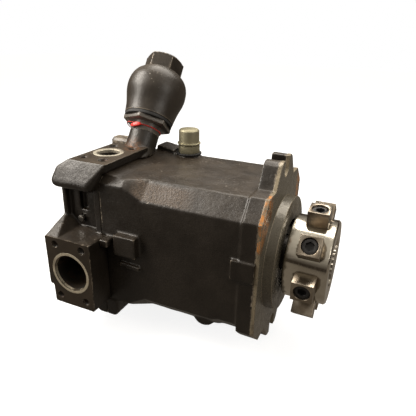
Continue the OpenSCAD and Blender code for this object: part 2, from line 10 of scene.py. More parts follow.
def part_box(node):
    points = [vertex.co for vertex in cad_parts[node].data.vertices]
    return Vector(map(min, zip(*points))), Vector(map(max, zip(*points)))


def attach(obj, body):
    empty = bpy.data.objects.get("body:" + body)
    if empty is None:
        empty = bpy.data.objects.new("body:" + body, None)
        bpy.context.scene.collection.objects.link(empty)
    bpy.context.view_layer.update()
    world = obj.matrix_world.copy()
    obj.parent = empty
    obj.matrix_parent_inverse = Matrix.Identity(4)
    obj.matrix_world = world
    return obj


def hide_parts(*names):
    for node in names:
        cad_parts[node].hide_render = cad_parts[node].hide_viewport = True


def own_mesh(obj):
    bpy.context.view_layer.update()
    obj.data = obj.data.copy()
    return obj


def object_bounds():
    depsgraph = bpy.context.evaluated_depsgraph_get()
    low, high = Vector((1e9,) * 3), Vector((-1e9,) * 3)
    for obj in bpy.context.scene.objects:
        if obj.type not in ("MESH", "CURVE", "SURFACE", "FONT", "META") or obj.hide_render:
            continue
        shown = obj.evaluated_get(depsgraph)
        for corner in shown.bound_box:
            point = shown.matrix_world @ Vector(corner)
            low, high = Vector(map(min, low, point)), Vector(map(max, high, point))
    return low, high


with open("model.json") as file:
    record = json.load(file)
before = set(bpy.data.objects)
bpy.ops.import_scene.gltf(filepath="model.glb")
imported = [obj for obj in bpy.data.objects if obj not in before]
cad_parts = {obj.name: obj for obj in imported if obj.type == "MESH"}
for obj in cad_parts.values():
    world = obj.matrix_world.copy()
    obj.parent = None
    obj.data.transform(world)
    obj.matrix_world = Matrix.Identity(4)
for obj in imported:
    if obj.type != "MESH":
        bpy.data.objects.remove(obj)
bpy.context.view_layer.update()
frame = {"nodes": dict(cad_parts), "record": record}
NODES = frame["nodes"]
MM = 0.001


# ---- camera, floor and light ------------------------------------------------

def make_camera():
    """The camera stands to the near right of the pump, a little above it."""
    right = Vector((0.912319, 0.408694, 0.025356))
    back = Vector((0.368205, -0.845877, 0.385898))
    up = back.cross(right)
    data = bpy.data.cameras.new("camera")
    data.sensor_width = 36.0
    data.lens = 36.0 * 413.17 / 416.0
    cam = bpy.data.objects.new("camera", data)
    turn = Matrix((right, up, back)).transposed()
    cam.matrix_world = Matrix.Translation((0.107187, -0.487431, 0.263617)) @ turn.to_4x4()
    bpy.context.collection.objects.link(cam)
    bpy.context.scene.camera = cam


def area_light(name, place, aim, size, power, colour=(1, 1, 1)):
    data = bpy.data.lights.new(name, "AREA")
    data.shape = "RECTANGLE"
    data.size, data.size_y = size
    data.energy = power
    data.color = colour
    lamp = bpy.data.objects.new(name, data)
    lamp.location = place
    lamp.rotation_mode = "QUATERNION"
    lamp.rotation_quaternion = (Vector(aim) - Vector(place)).to_track_quat("-Z", "Y")
    bpy.context.collection.objects.link(lamp)


# ---- materials --------------------------------------------------------------

class Mat:
    """A material built from nodes, with short calls for the usual ones."""

    def __init__(self, name):
        self.mat = bpy.data.materials.new(name)
        self.mat.use_nodes = True
        self.tree = self.mat.node_tree
        self.tree.nodes.clear()
        self.out = self.node("ShaderNodeOutputMaterial")
        self.bsdf = self.node("ShaderNodeBsdfPrincipled")
        self.link(self.bsdf.outputs[0], self.out.inputs[0])
        self.where = self.node("ShaderNodeTexCoord").outputs["Object"]

    def node(self, kind, **props):
        n = self.tree.nodes.new(kind)
        for k, v in props.items():
            setattr(n, k, v)
        return n

    def link(self, a, b):
        self.tree.links.new(a, b)

    def put(self, socket, value):
        """Links a socket or sets a plain value."""
        if isinstance(value, bpy.types.NodeSocket):
            self.link(value, socket)
        elif isinstance(value, (tuple, list)) and len(value) == 3 and socket.type == "RGBA":
            socket.default_value = (*value, 1)
        else:
            socket.default_value = value

    def noise(self, scale, detail=2.0, rough=0.5, vector=None):
        n = self.node("ShaderNodeTexNoise")
        self.put(n.inputs["Vector"], vector or self.where)
        n.inputs["Scale"].default_value = scale
        n.inputs["Detail"].default_value = detail
        n.inputs["Roughness"].default_value = rough
        return n.outputs["Fac"]

    def cells(self, scale):
        n = self.node("ShaderNodeTexVoronoi", feature="F1")
        self.put(n.inputs["Vector"], self.where)
        n.inputs["Scale"].default_value = scale
        return n.outputs["Distance"]

    def math(self, op, a, b=0.0):
        n = self.node("ShaderNodeMath", operation=op)
        self.put(n.inputs[0], a)
        self.put(n.inputs[1], b)
        return n.outputs[0]

    def between(self, value, low, high, to_low=0.0, to_high=1.0):
        n = self.node("ShaderNodeMapRange", clamp=True)
        self.put(n.inputs["Value"], value)
        for key, v in zip(("From Min", "From Max", "To Min", "To Max"), (low, high, to_low, to_high)):
            n.inputs[key].default_value = v
        return n.outputs[0]

    def mix(self, fac, a, b):
        n = self.node("ShaderNodeMix", data_type="RGBA")
        self.put(n.inputs["Factor"], fac)
        self.put(n.inputs[6], a)
        self.put(n.inputs[7], b)
        return n.outputs[2]

    def bump(self, height, distance, strength=1.0, normal=None):
        n = self.node("ShaderNodeBump")
        self.put(n.inputs["Height"], height)
        n.inputs["Distance"].default_value = distance
        n.inputs["Strength"].default_value = strength
        if normal is not None:
            self.link(normal, n.inputs["Normal"])
        return n.outputs[0]

    def split(self):
        """x, y and z of the place, in metres."""
        n = self.node("ShaderNodeSeparateXYZ")
        self.link(self.where, n.inputs[0])
        return n.outputs

    def stretched(self, x, y, z):
        n = self.node("ShaderNodeVectorMath", operation="MULTIPLY")
        self.link(self.where, n.inputs[0])
        n.inputs[1].default_value = (x, y, z)
        return n.outputs[0]

    def near(self, point, r_in, r_out):
        """1 within r_in metres of a point, 0 beyond r_out."""
        n = self.node("ShaderNodeVectorMath", operation="DISTANCE")
        self.link(self.where, n.inputs[0])
        n.inputs[1].default_value = point
        return self.between(n.outputs["Value"], r_in, r_out, 1.0, 0.0)

    def normal_z(self):
        n = self.node("ShaderNodeSeparateXYZ")
        self.link(self.node("ShaderNodeNewGeometry").outputs["Normal"], n.inputs[0])
        return n.outputs[2]

    def edges(self, low, high):
        """1 on convex edges of a dense mesh."""
        point = self.node("ShaderNodeNewGeometry").outputs["Pointiness"]
        return self.between(point, low, high)

    def finish(self, colour, rough, metallic=0.0, normal=None, **extra):
        for key, v in (("Base Color", colour), ("Roughness", rough), ("Metallic", metallic)):
            self.put(self.bsdf.inputs[key], v)
        if normal is not None:
            self.link(normal, self.bsdf.inputs["Normal"])
        for key, v in extra.items():
            self.bsdf.inputs[key.replace("_", " ")].default_value = v
        return self.mat


PAINT = (0.0080, 0.0059, 0.0040)
PAINT_LIGHT = (0.0160, 0.0122, 0.0086)
# colour of paint rubbed through, also used as a painted highlight along edges
WORN_AND_HIGHLIGHT = (0.300, 0.250, 0.190)
RUST = (0.115, 0.048, 0.018)
ORANGE = (0.42, 0.17, 0.04)


def simple_steel(name, colour, dark, rough, metallic=1.0):
    m = Mat(name)
    tone = m.noise(60, 3, 0.6)
    fine = m.noise(900, 2, 0.5)
    col = m.mix(m.between(tone, 0.35, 0.65), colour, dark)
    r = m.between(m.math("ADD", tone, m.math("MULTIPLY", fine, 0.5)), 0.5, 1.0, rough - 0.08, rough + 0.12)
    return m.finish(col, r, metallic, m.bump(fine, 0.00004))


def paint_material(name, grain_depth=0.00016, wear_and_highlight=(0.53, 0.575), gloss=0.36, rust_spots=(), sandy=False,
                   colours=(PAINT, PAINT_LIGHT)):
    """Semi-gloss paint over a casting, rubbed through on its edges; the light edges are partly worn paint and
    partly painted highlight.
    """
    m = Mat(name)
    tone = m.noise(22, 4, 0.6)
    grain = m.noise(950, 3, 0.6)
    lumps = m.noise(260, 2, 0.5)
    col = m.mix(m.between(tone, 0.3, 0.7), *colours)
    dust = m.math("MULTIPLY", m.between(m.normal_z(), 0.35, 0.95), m.between(m.noise(38, 4, 0.6), 0.25, 0.80))
    col = m.mix(m.math("MULTIPLY", dust, 0.26), col, (0.105, 0.078, 0.052))
    chips = m.math("MULTIPLY", m.between(m.noise(330, 3, 0.7), 0.64, 0.68),
                   m.between(m.noise(28, 2, 0.5), 0.56, 0.64))
    chips = m.math("MULTIPLY", chips, m.between(m.normal_z(), 0.15, 0.5))
    col = m.mix(m.math("MULTIPLY", chips, 0.8), col, (0.36, 0.32, 0.27))
    if wear_and_highlight:
        # light convex edges: partly paint rubbed through, partly a painted highlight along the edges
        rubbed_and_highlit = m.math("MULTIPLY", m.edges(*wear_and_highlight), m.between(m.noise(160, 3, 0.7), 0.34, 0.60))
        col = m.mix(m.math("MULTIPLY", rubbed_and_highlit, 0.75), col, WORN_AND_HIGHLIGHT)
    for place, r_in, r_out in rust_spots:
        spot = m.math("MULTIPLY", m.near(place, r_in, r_out), m.between(m.noise(240, 4, 0.7), 0.42, 0.56))
        col = m.mix(m.math("MULTIPLY", spot, 0.9), col, RUST)
    mottle = m.math("ADD", tone, m.math("MULTIPLY", grain, 0.6))
    rough = m.between(mottle, 0.5, 1.1, gloss - 0.06, gloss + 0.14)
    if sandy:
        # bare sandy casting on the near shoulder of the housing
        x, y, _ = m.split()
        zone = m.math("MULTIPLY", m.between(x, -0.176, -0.166), m.between(x, -0.108, -0.085, 1.0, 0.0))
        zone = m.math("MULTIPLY", zone, m.between(y, -0.0895, -0.0875))
        zone = m.math("MULTIPLY", zone, m.between(y, -0.073, -0.069, 1.0, 0.0))
        zone = m.math("MULTIPLY", zone, m.between(m.normal_z(), 0.30, 0.5))
        sand = m.cells(420)
        shade = m.between(m.math("ADD", sand, m.math("MULTIPLY", grain, 0.6)), 0.5, 1.1)
        sand_colour = m.mix(shade, (0.074, 0.050, 0.031), (0.036, 0.024, 0.015))
        col = m.mix(m.math("MULTIPLY", zone, 0.8), col, sand_colour)
        lumps = m.math("ADD", lumps, m.math("MULTIPLY", zone, m.math("MULTIPLY", sand, 1.7)))
        rough = m.math("ADD", rough, m.math("MULTIPLY", zone, 0.16))
    normal = m.bump(lumps, grain_depth * 2.2, 0.6)
    normal = m.bump(grain, grain_depth, 0.8, normal)
    return m.finish(col, rough, 0.0, normal, Specular_IOR_Level=0.36)


def worn_and_highlit_edge():
    # edge bevels coloured as rubbed paint and as a painted highlight on the edge
    m = Mat("worn_and_highlit_edge")
    n = m.noise(240, 3, 0.7)
    col = m.mix(m.between(n, 0.38, 0.62), PAINT_LIGHT, WORN_AND_HIGHLIGHT)
    return m.finish(col, m.between(n, 0.3, 0.7, 0.34, 0.5), 0.0, m.bump(m.noise(900, 2), 0.00008))


def machined(name, colour, rust=0.5, rings=None, rough=0.42, metallic=0.6):
    """Bare cut metal with tool marks, stained with rust."""
    m = Mat(name)
    stain = m.noise(95, 5, 0.7)
    fine = m.noise(700, 3, 0.6)
    col = m.mix(m.between(fine, 0.3, 0.7), colour, tuple(0.72 * c for c in colour))
    col = m.mix(m.math("MULTIPLY", m.between(stain, 0.50, 0.60), rust), col, RUST)
    col = m.mix(m.math("MULTIPLY", m.between(m.noise(42, 3, 0.6), 0.55, 0.7), 0.5), col, (0.075, 0.055, 0.04))
    marks = fine
    if rings is not None:
        n = m.node("ShaderNodeVectorMath", operation="DISTANCE")
        m.link(m.where, n.inputs[0])
        n.inputs[1].default_value = rings
        marks = m.math("SINE", m.math("MULTIPLY", n.outputs["Value"], 9000.0))
        marks = m.math("ADD", m.math("MULTIPLY", marks, 0.25), fine)
    r = m.between(stain, 0.4, 0.65, rough, rough + 0.25)
    return m.finish(col, r, metallic, m.bump(marks, 0.00006, 0.7))


def flange_metal():
    """The flange front: oily bare iron, beige and rusty where the paint stops."""
    m = Mat("flange_metal")
    x, y, z = m.split()
    stain = m.noise(110, 5, 0.7)
    fine = m.noise(700, 3, 0.6)
    col = m.mix(m.between(fine, 0.3, 0.7), (0.120, 0.106, 0.078), (0.078, 0.068, 0.050))
    band = m.between(x, -0.0007, -0.0002, 1.0, 0.0)
    col = m.mix(m.math("MULTIPLY", band, m.between(stain, 0.36, 0.55, 0.35, 0.9)), col, (0.22, 0.18, 0.12))
    corner = m.between(m.math("SUBTRACT", z, y), 0.122, 0.136)
    strip = m.math("MULTIPLY", m.math("MULTIPLY", corner, m.between(y, -0.060, -0.052, 1.0, 0.0)),
                   m.between(z, 0.024, 0.040))
    far = m.math("MULTIPLY", m.between(y, 0.064, 0.078), m.between(z, 0.02, 0.04))
    rust = m.math("MULTIPLY", m.math("MAXIMUM", strip, far), m.between(stain, 0.40, 0.54))
    rust = m.math("MULTIPLY", rust, m.between(x, 0.0005, 0.0035, 1.0, 0.15))
    col = m.mix(rust, col, m.mix(m.between(m.noise(60, 3), 0.4, 0.6), RUST, ORANGE))
    r = m.between(stain, 0.4, 0.65, 0.22, 0.44)
    return m.finish(col, r, 0.25, m.bump(fine, 0.00006, 0.6))


def polished_hub():
    m = Mat("hub_steel")
    turned = m.noise(1.0, 3, 0.6, m.stretched(2600, 40, 40))
    tone = m.noise(30, 3, 0.6)
    col = m.mix(m.between(tone, 0.35, 0.7), (0.60, 0.56, 0.48), (0.44, 0.40, 0.33))
    specks = m.between(m.noise(420, 4, 0.7), 0.66, 0.74)
    col = m.mix(m.math("MULTIPLY", specks, 0.6), col, (0.20, 0.14, 0.09))
    r = m.between(turned, 0.3, 0.7, 0.10, 0.20)
    return m.finish(col, r, 1.0, m.bump(turned, 0.00003, 0.6))


PAD_Z = 0.1118                        # face of the pressure port, in metres
T_C = (-0.2458, -0.1279, -0.033)      # middle of the suction port
P_C = (-0.2392, -0.0381, PAD_Z)       # middle of the pressure port
FAR_HOLE = (-0.2233, -0.0048, PAD_Z)
NECK_FOOT = (-0.232, 0.008, 0.108)

CAST = paint_material("cast_paint", rust_spots=((FAR_HOLE, 0.006, 0.014), (NECK_FOOT, 0.004, 0.020)),
                      sandy=True)
FLAT_PAINT = paint_material("flat_paint", 0.00006, None, 0.34, ((FAR_HOLE, 0.006, 0.014),),
                            colours=((0.012, 0.0082, 0.0048), (0.026, 0.0175, 0.0097)))
FORGED = paint_material("forged_paint", 0.00008, (0.53, 0.60), 0.34,
                        colours=((0.017, 0.0135, 0.0100), (0.033, 0.0265, 0.0200)))
# lighter grey paint on the damper adapter, lightened further as a painted highlight
NECK_PAINT_HIGHLIT = paint_material("neck_paint_highlit", 0.00006, None, 0.30,
                      colours=((0.070, 0.062, 0.054), (0.110, 0.097, 0.084)))
EDGE_WEAR_AND_HIGHLIGHT = worn_and_highlit_edge()
RING_T = machined("ring_t", (0.50, 0.45, 0.34), 0.30, T_C)
RING_P = machined("ring_p", (0.40, 0.37, 0.30), 0.15, P_C)
# near-black tapped holes: painted shade in the holes
THREAD_SHADE = machined("thread", (0.030, 0.024, 0.018), 0.35, None, 0.4, 0.3)
FLANGE_EDGE = flange_metal()
LIGHT_EDGE = machined("light_edge", (0.22, 0.19, 0.14), 0.3, None, 0.35, 0.4)
# near-black bore walls: painted shade deep in the port bores
BORE_SHADE = machined("bore", (0.016, 0.013, 0.010), 0.2, None, 0.4, 0.2)
HUB = polished_hub()
BLOCK = simple_steel("block_steel", (0.370, 0.325, 0.265), (0.215, 0.175, 0.130), 0.30)
# dark steel used as painted shade inside the pilot and the hub bore
SHADE_STEEL = simple_steel("shaded_shaft", (0.020, 0.015, 0.011), (0.034, 0.026, 0.018), 0.45, 0.4)

SLOTS = {
    "grey_paint": FORGED,
    "black_rubber": simple_steel("rubber", (0.006, 0.006, 0.006), (0.011, 0.010, 0.010), 0.65, 0.0),
    "black_steel": simple_steel("black_steel", (0.022, 0.022, 0.023), (0.04, 0.038, 0.036), 0.35, 0.6),
    "polished_steel": simple_steel("polished_steel", (0.72, 0.70, 0.67), (0.62, 0.60, 0.56), 0.18),
    "ground_steel": simple_steel("ground_steel", (0.40, 0.37, 0.32), (0.28, 0.25, 0.21), 0.26),
    "bearing_steel": simple_steel("bearing_steel", (0.65, 0.65, 0.66), (0.58, 0.58, 0.6), 0.15),
    "bronze": simple_steel("bronze", (0.55, 0.36, 0.17), (0.42, 0.27, 0.13), 0.3),
    "yellow_zinc": simple_steel("yellow_zinc", (0.36, 0.33, 0.22), (0.27, 0.25, 0.17), 0.48, 0.75),
    "seal_red": simple_steel("seal_red", (0.62, 0.02, 0.012), (0.45, 0.012, 0.01), 0.4, 0.0),
}


# ---- mesh tools -------------------------------------------------------------

SHARP = 28             # degrees above which a CAD edge is sharp
WELD = 2e-6            # points of a CAD mesh closer than this are one
ON_PLANE = 0.00015     # points within this of a machined plane get its stock
MOST_FACES = 190000    # a casting above this is thinned
KEPT_FACES = 186000


def cad_bmesh(name):
    """A welded copy of a CAD node's mesh in the row frame."""
    node = NODES[name]
    bm = bmesh.new()
    bm.from_mesh(node.data)
    bm.transform(node.matrix_world)
    bmesh.ops.remove_doubles(bm, verts=bm.verts, dist=WELD)
    return bm


def new_piece(name, bm, *materials, smooth=None):
    """An object from a bmesh. smooth is the angle above which an edge is sharp."""
    me = bpy.data.meshes.new(name)
    bm.to_mesh(me)
    bm.free()
    me.shade_smooth()
    if smooth:
        me.set_sharp_from_angle(angle=math.radians(smooth))
    for mat in materials:
        me.materials.append(mat)
    obj = bpy.data.objects.new(name, me)
    bpy.context.collection.objects.link(obj)
    return obj


def modified(obj, kind, **props):
    """The object's mesh after one modifier, which is then gone again."""
    mod = obj.modifiers.new("step", kind)
    for k, v in props.items():
        setattr(mod, k, v)
    bpy.context.view_layer.update()
    done = bpy.data.meshes.new_from_object(obj.evaluated_get(bpy.context.evaluated_depsgraph_get()))
    obj.modifiers.clear()
    old = obj.data
    obj.data = done
    bpy.data.meshes.remove(old)
    return done


def cut(bm, place, normal, cap_material=0):
    """Takes away what lies beyond a plane and closes the cut."""
    geom = list(bm.verts) + list(bm.edges) + list(bm.faces)
    bmesh.ops.bisect_plane(bm, geom=geom, dist=1e-7, plane_co=place, plane_no=normal, clear_outer=True)
    rim = [e for e in bm.edges if e.is_boundary]
    made = bmesh.ops.triangle_fill(bm, use_beauty=True, edges=rim, normal=normal)
    for item in made["geom"]:
        if isinstance(item, bmesh.types.BMFace):
            item.material_index = cap_material
            item.smooth = True


def relax(co, edges, weight, rounds):
    """Rounds a dense mesh: each point moves towards the mean of its neighbours."""
    i, j = edges.T
    n = len(co)
    count = np.maximum(np.bincount(i, minlength=n) + np.bincount(j, minlength=n), 1)
    for _ in range(rounds):
        mean = np.stack([np.bincount(i, co[j, k], n) + np.bincount(j, co[i, k], n) for k in range(3)], 1)
        co += (0.5 * weight)[:, None] * (mean / count[:, None] - co)


def roughness(points, layers):
    """Smooth random heights in metres for an array of points."""
    total = np.zeros(len(points))
    for scale, height, seed in layers:
        shift = Vector((seed, 1.7 * seed, 2.3 * seed))
        total += [height * noise.noise(Vector(p) * scale + shift) for p in points]
    return total


def casting(name, planes, weight, voxel, rounds, layers, materials, pad_z=None):
    """A cast look for a CAD node. It is made with extra stock at each machined
    plane, rounded and roughened all over, and then cut back to the planes."""
    low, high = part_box(name)
    bm = cad_bmesh(name)
    for place, normal, stock in planes:
        place, normal = Vector(place), Vector(normal)
        for v in bm.verts:
            if abs((v.co - place).dot(normal)) < ON_PLANE:
                v.co += stock * normal
    obj = new_piece(name + "_cast", bm)
    me = modified(obj, "REMESH", mode="VOXEL", voxel_size=voxel)
    n = len(me.vertices)
    co = np.empty(n * 3)
    me.vertices.foreach_get("co", co)
    co = co.reshape(n, 3)
    edges = np.empty(len(me.edges) * 2, dtype=np.int64)
    me.edges.foreach_get("vertices", edges)
    soft = weight(co)
    relax(co, edges.reshape(-1, 2), soft, rounds)
    me.vertices.foreach_set("co", co.ravel())
    me.update()
    up = np.empty(n * 3)
    me.vertex_normals.foreach_get("vector", up)
    co += up.reshape(n, 3) * (soft * roughness(co, layers))[:, None]
    me.vertices.foreach_set("co", co.ravel())
    me.update()
    faces = 2 * len(me.polygons)
    if faces > MOST_FACES:
        me = modified(obj, "DECIMATE", ratio=KEPT_FACES / faces)
    bm = bmesh.new()
    bm.from_mesh(me)
    for place, normal, _ in planes:
        cut(bm, place, normal, 1)
    for v in bm.verts:
        v.co = [min(max(c, a), b) for c, a, b in zip(v.co, low, high)]
    bm.to_mesh(me)
    bm.free()
    me.shade_smooth()
    me.set_sharp_from_angle(angle=math.radians(50))
    for mat in materials:
        me.materials.append(mat)
    if pad_z:
        for face in me.polygons:
            if face.normal.z > 0.999 and abs(face.center.z - pad_z) < 0.0002:
                face.material_index = 1
    return obj


def lathe(name, profile, steps, place, axis, *materials, smooth=30):
    """Turns a closed profile of (radius, height) in mm round an axis."""
    bm = bmesh.new()
    rings = []
    for i in range(steps):
        a = 2 * math.pi * i / steps
        ring = [bm.verts.new((r * MM * math.cos(a), r * MM * math.sin(a), h * MM)) for r, h in profile]
        rings.append(ring)
    for i in range(steps):
        one, two = rings[i], rings[(i + 1) % steps]
        for k in range(len(profile)):
            m = (k + 1) % len(profile)
            bm.faces.new((one[k], two[k], two[m], one[m]))
    bmesh.ops.remove_doubles(bm, verts=bm.verts, dist=1e-7)
    bmesh.ops.recalc_face_normals(bm, faces=bm.faces)
    turn = Vector(axis).to_track_quat("Z", "Y").to_matrix().to_4x4()
    bm.transform(Matrix.Translation(place) @ turn)
    return new_piece(name, bm, *materials, smooth=smooth)


def tube(name, points, radius, material, sides=10):
    """A closed round wire along a loop of points."""
    bm = bmesh.new()
    n = len(points)
    rings = []
    for i, p in enumerate(points):
        along = (points[(i + 1) % n] - points[i - 1]).normalized()
        side = along.cross(DAMPER_AXIS).normalized()
        top = side.cross(along)
        rings.append([bm.verts.new(p + radius * (math.cos(a) * side + math.sin(a) * top))
                      for a in (2 * math.pi * k / sides for k in range(sides))])
    for i in range(n):
        one, two = rings[i], rings[(i + 1) % n]
        for k in range(sides):
            m = (k + 1) % sides
            bm.faces.new((one[k], one[m], two[m], two[k]))
    bmesh.ops.recalc_face_normals(bm, faces=bm.faces)
    return new_piece(name, bm, material)


def shown_as(obj, *nodes, body="housing"):
    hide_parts(*nodes)
    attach(obj, body)


def bevel_edges(obj, width, angle, crisp=False, material_index=None):
    """Rounds the edges sharper than an angle, in a material of their own if one is given."""
    bevel = obj.modifiers.new("edge", "BEVEL")
    bevel.width = width * MM
    bevel.segments = 2
    bevel.limit_method = "ANGLE"
    bevel.angle_limit = math.radians(angle)
    bevel.harden_normals = crisp
    if material_index is not None:
        bevel.material = material_index


def soften(node, width, material=None, crisp=False):
    """Small rounded edges on a CAD node."""
    obj = NODES[node]
    weld = obj.modifiers.new("weld", "WELD")
    weld.merge_threshold = WELD
    if material:
        obj.data.materials.append(material)
    bevel_edges(obj, width, SHARP, crisp, len(obj.data.materials) - 1 if material else None)


# ---- damper frame -----------------------------------------------------------

LEAN = Matrix.Rotation(math.radians(-1.1), 3, "Y") @ Matrix.Rotation(math.radians(-35.2), 3, "X")
DAMPER_FOOT = Vector((-0.230, 0.025, 0.102))
DAMPER_AXIS = LEAN @ Vector((0, 0, 1))
ON_DAMPER = Matrix.Translation(DAMPER_FOOT) @ LEAN.to_4x4()


# ---- materials of the CAD nodes ---------------------------------------------

for part in frame["record"]["subparts"]:
    node = NODES[part["node"]]
    node.data.materials.clear()
    node.data.materials.append(SLOTS[part["material_slot"]])
    node.data.set_sharp_from_angle(angle=math.radians(SHARP))


# ---- castings ---------------------------------------------------------------

CAST_FRONT = -0.0049       # the cast part and the flange front overlap by 0.1 mm
NOSE_BACK = -0.005
HOUSING_BACK = -0.218
COVER_FRONT = -0.2188
SUCTION_FACE = -0.1278
NECK_SEAT = 0.02602        # height of the damper's seat along its axis
EXTRA = 0.003              # stock that the cut takes off again
HOUSING_VOXEL = 0.0013
COVER_VOXEL = 0.0012
ROUNDS = 3


def housing_weight(co):
    """The chamfers are rough, the front of the flange is left to its own piece."""
    x = co[:, 0]
    return np.clip((-0.001 - x) / 0.004, 0, 1)


def cover_weight(co):
    """Keeps the joint face and the face of the pressure port flat."""
    x, y, z = co.T
    near_joint = (np.abs(x - COVER_FRONT) < 0.0016) & (np.abs(y) < 0.0905) & (z < 0.0984)
    away = co - np.array(DAMPER_FOOT)
    along = away @ np.array(DAMPER_AXIS)
    off = np.linalg.norm(away - along[:, None] * np.array(DAMPER_AXIS), axis=1)
    pad = (np.abs(z - PAD_Z) < 0.0004) & (off > 0.0235)
    return np.where(near_joint | pad, 0.0, 1.0)


LAYERS = ((60.0, 0.00035, 3.1), (260.0, 0.00014, 7.7), (620.0, 0.00008, 1.3))

housing = casting(
    "main_housing",
    [((CAST_FRONT, 0, 0), (1, 0, 0), 0.0), ((HOUSING_BACK, 0, 0), (-1, 0, 0), EXTRA)],
    housing_weight, HOUSING_VOXEL, ROUNDS, LAYERS, (CAST, FLAT_PAINT))
cover = casting(
    "end_cover",
    [((0, SUCTION_FACE, 0), (0, -1, 0), EXTRA), (DAMPER_FOOT + NECK_SEAT * DAMPER_AXIS, DAMPER_AXIS, EXTRA)],
    cover_weight, COVER_VOXEL, ROUNDS, LAYERS, (CAST, FLAT_PAINT), PAD_Z)
shown_as(cover, "end_cover")

nose = cad_bmesh("main_housing")
cut(nose, (NOSE_BACK, 0, 0), (-1, 0, 0))
nose = new_piece("flange_front", nose, FLANGE_EDGE, LIGHT_EDGE, smooth=SHARP)
bevel_edges(nose, 0.7, SHARP, material_index=1)
shown_as(housing, "main_housing")
shown_as(nose, "main_housing")


# ---- ports ------------------------------------------------------------------

SUCTION_BOLTS = (42.9, 77.8)      # bolt spacings in mm, along the shaft and up
PRESSURE_BOLTS = (31.8, 66.7)     # along the shaft and across it


def port(name, centre, axis, bore, ring, rise, depth, mat):
    """The machined ring of a port and the bore behind it, dark as painted shade. Radii, rise and depth are in
    mm.
    """
    r, R = bore, ring
    profile = [(R, -1.2), (R, rise - 0.25), (R - 0.3, rise), (r + 0.9, rise), (r - 0.1, rise - 1.0),
               (r - 0.2, rise - 2.0), (r - 0.2, -4.0), (r + 0.8, -4.0), (r + 0.8, -1.2)]
    shown_as(lathe(name, profile, 128, centre, axis, mat), "end_cover")
    profile = [(r - 0.2, -4.02), (r - 0.2, -depth), (r + 0.8, -depth), (r + 0.8, -4.02)]
    shown_as(lathe(name + "_bore", profile, 128, centre, axis, BORE_SHADE), "end_cover")


port("suction_ring", T_C, (0, -1, 0), 25.5, 30.2, 0.0, 60.0, RING_T)
port("pressure_ring", P_C, (0, 0, 1), 15.6, 20.8, 0.6, 47.0, RING_P)


def threaded_hole(name, place, axis, r, depth, pitch):
    """A tapped hole in mm, dark as painted shade. Its thread is a row of separate V rings, not a helix."""
    profile = [(r + 1.3, -1.0), (r + 1.3, 0.03), (r + 1.1, 0.06), (r - 0.1, -1.15)]
    turns = int((depth - 1.8) / pitch)
    for k in range(turns):
        top = -1.3 - k * pitch
        profile += [(r - 0.05, top), (r - 0.75, top - 0.5 * pitch)]
    profile += [(r - 0.05, -depth), (0.0, -depth - 0.6), (0.0, -depth - 1.0)]
    profile += [(r + 0.5, -depth - 0.4), (r + 0.5, -1.0)]
    obj = lathe(name, profile, 40, place, axis, THREAD_SHADE, smooth=50)
    shown_as(obj, "end_cover")


for i, (a, b) in enumerate([(-1, -1), (-1, 1), (1, -1), (1, 1)]):
    place = Vector(T_C) + Vector((a * SUCTION_BOLTS[0] / 2, 0.1, b * SUCTION_BOLTS[1] / 2)) * MM
    threaded_hole("suction_thread_%d" % i, place, (0, -1, 0), 5.25, 22, 1.5)
    place = Vector(P_C) + Vector((a * PRESSURE_BOLTS[0] / 2, b * PRESSURE_BOLTS[1] / 2, 0)) * MM
    threaded_hole("pressure_thread_%d" % i, place, (0, 0, 1), 6.1, 10.5, 1.75)


# ---- damper -----------------------------------------------------------------

def spline_through(points, steps):
    """Points on a smooth curve through the given ones."""
    out = []
    for k in range(len(points) - 1):
        a, b, c, d = (Vector(points[max(0, min(len(points) - 1, k + i))]) for i in (-1, 0, 1, 2))
        for s in range(steps):
            t = s / steps
            out.append(0.5 * ((2 * b) + (c - a) * t + (2 * a - 5 * b + 4 * c - d) * t * t
                              + (3 * b - a - 3 * c + d) * t ** 3))
    out.append(Vector(points[-1]))
    return [tuple(p) for p in out]


def damper():
    side = [(37.1, 50.6), (37.8, 56), (38.8, 63), (40, 69), (42, 77), (44, 85), (45.0, 92), (45.05, 96),
            (45.0, 99), (44.2, 106), (42.3, 112), (39.5, 117), (36, 121), (32, 124.5), (28, 127), (24, 128.3)]
    profile = [(26.1, 50.6)] + spline_through(side, 3) + [(0, 128.6), (0, 120), (26.1, 116)]
    bulb = lathe("damper_body", profile, 144, (0, 0, 0), (0, 0, 1), FORGED, smooth=35)
    me = bulb.data
    for v in me.vertices:
        p = v.co.copy()
        out = Vector((p.x, p.y, 0))
        if out.length > 0.028:
            v.co += out.normalized() * (0.00025 * (noise.noise(p * 60) - 0.5) + 0.0001 * noise.noise(p * 260))
    me.transform(ON_DAMPER)
    shown_as(bulb, "damper_bulb")


def hexagon(name, across, low, high, turn, chamfer, materials):
    """A hexagon head with its corners turned off at the top."""
    bm = bmesh.new()
    R = across / math.sqrt(3)
    steps = 96
    rings = []
    def radius(a):
        a = (a - math.radians(turn)) % (math.pi / 3) - math.pi / 6
        return across / 2 / math.cos(a)
    flat = across / 2
    for h, cap in ((low, R), (high - chamfer, R), (high - 0.45 * chamfer, flat + 0.28 * (R - flat)),
                   (high - 0.1 * chamfer, flat - 0.6), (high, flat - 1.8)):
        rings.append([])
        for i in range(steps):
            a = 2 * math.pi * i / steps + math.radians(turn)
            r = min(radius(a), cap)
            rings[-1].append(bm.verts.new((r * MM * math.cos(a), r * MM * math.sin(a), h * MM)))
    for one, two in zip(rings, rings[1:]):
        for i in range(steps):
            k = (i + 1) % steps
            bm.faces.new((one[i], one[k], two[k], two[i]))
    bm.faces.new(rings[-1])
    bm.faces.new(list(reversed(rings[0])))
    bmesh.ops.recalc_face_normals(bm, faces=bm.faces)
    bm.transform(ON_DAMPER)
    obj = new_piece(name, bm, *materials, smooth=24)
    bevel_edges(obj, 0.8, 24, material_index=1)
    return obj


damper()
shown_as(hexagon("damper_hexagon", 51.5, 126.2, 150.2, 20.1, 2.6, (FORGED, EDGE_WEAR_AND_HIGHLIGHT)), "damper_bulb")


